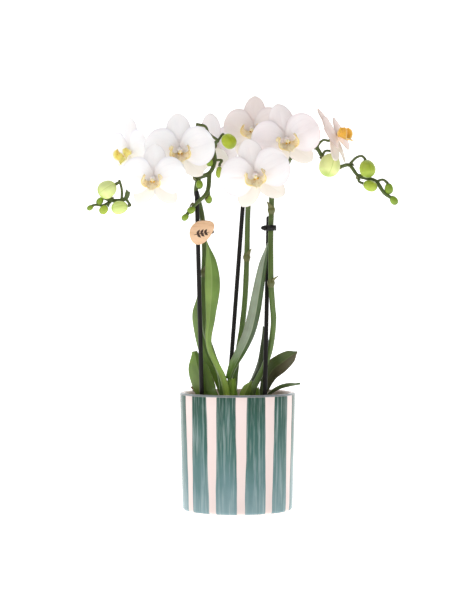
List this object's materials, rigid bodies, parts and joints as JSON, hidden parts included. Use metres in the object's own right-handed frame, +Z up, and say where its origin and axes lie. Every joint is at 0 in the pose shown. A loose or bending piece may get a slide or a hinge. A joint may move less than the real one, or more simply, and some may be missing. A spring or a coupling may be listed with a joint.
{
  "type": "potted orchid",
  "caption": "White moth orchid in flower, with arching staked flower spikes, buds, strappy leaves and a wooden tag, in a clear grow pot inside a round cover pot with painted upright stripes.",
  "frame": {"origin": "middle of the cover pot's flat foot, on the surface it stands on", "axes": "+Z up, -Y towards the front that most flowers and the tag face, +X towards the long right spray of buds"},
  "size_m": [0.2793, 0.125, 0.3765],
  "materials": {
    "striped_glaze": "glossy glaze, pinkish white, with brushed upright stripes in grey green that are darker at the top",
    "clear_plastic": "thin clear moulded plastic",
    "bark": "rough chips of pine bark",
    "root": "matt silvery green skin of an aerial root",
    "leaf": "waxy leaf, half gloss, paler along the midrib and edge",
    "stem": "smooth green stalk, half gloss",
    "bud": "satin lime green flower bud",
    "petal": "soft translucent white petal, faintly veined",
    "lip": "fleshy white lip with yellow and peach patches and small maroon flecks",
    "stake_black": "black coated plant stake",
    "clip_black": "black moulded clip",
    "tag_wood": "smooth pale wood, unfinished"
  },
  "bodies": {
    "root": {"bark": "bark", "bud_centre": "bud", "bud_hanging": "bud", "bud_left_1": "bud", "bud_left_2": "bud", "bud_left_3": "bud", "bud_right_1": "bud", "bud_right_2": "bud", "bud_right_3": "bud", "clip_centre": "clip_black", "clip_left": "clip_black", "clip_right": "clip_black", "crown_left": "leaf", "crown_right": "leaf", "flower_1_lip": "lip", "flower_1_petals": "petal", "flower_1_sepals": "petal", "flower_2_lip": "lip", "flower_2_petals": "petal", "flower_2_sepals": "petal", "flower_3_lip": "lip", "flower_3_petals": "petal", "flower_3_sepals": "petal", "flower_4_lip": "lip", "flower_4_petals": "petal", "flower_4_sepals": "petal", "flower_5_lip": "lip", "flower_5_petals": "petal", "flower_5_sepals": "petal", "flower_6_lip": "lip", "flower_6_petals": "petal", "flower_6_sepals": "petal", "flower_7_lip": "lip", "flower_7_petals": "petal", "flower_7_sepals": "petal", "flower_8_lip": "lip", "flower_8_petals": "petal", "flower_8_sepals": "petal", "grow_pot": "clear_plastic", "leaf_back_left": "leaf", "leaf_broad_left": "leaf", "leaf_broad_right": "leaf", "leaf_dark_centre": "leaf", "leaf_low_left": "leaf", "leaf_low_right": "leaf", "leaf_small_front": "leaf", "leaf_tall_centre": "leaf", "leaf_tall_left": "leaf", "pot": "striped_glaze", "root_back": "root", "root_front": "root", "root_left": "root", "spike_centre": "stem", "spike_left": "stem", "spike_right": "stem", "stake_centre": "stake_black", "stake_left": "stake_black", "stake_right": "stake_black", "tag": "tag_wood"}
  },
  "joints": []
}
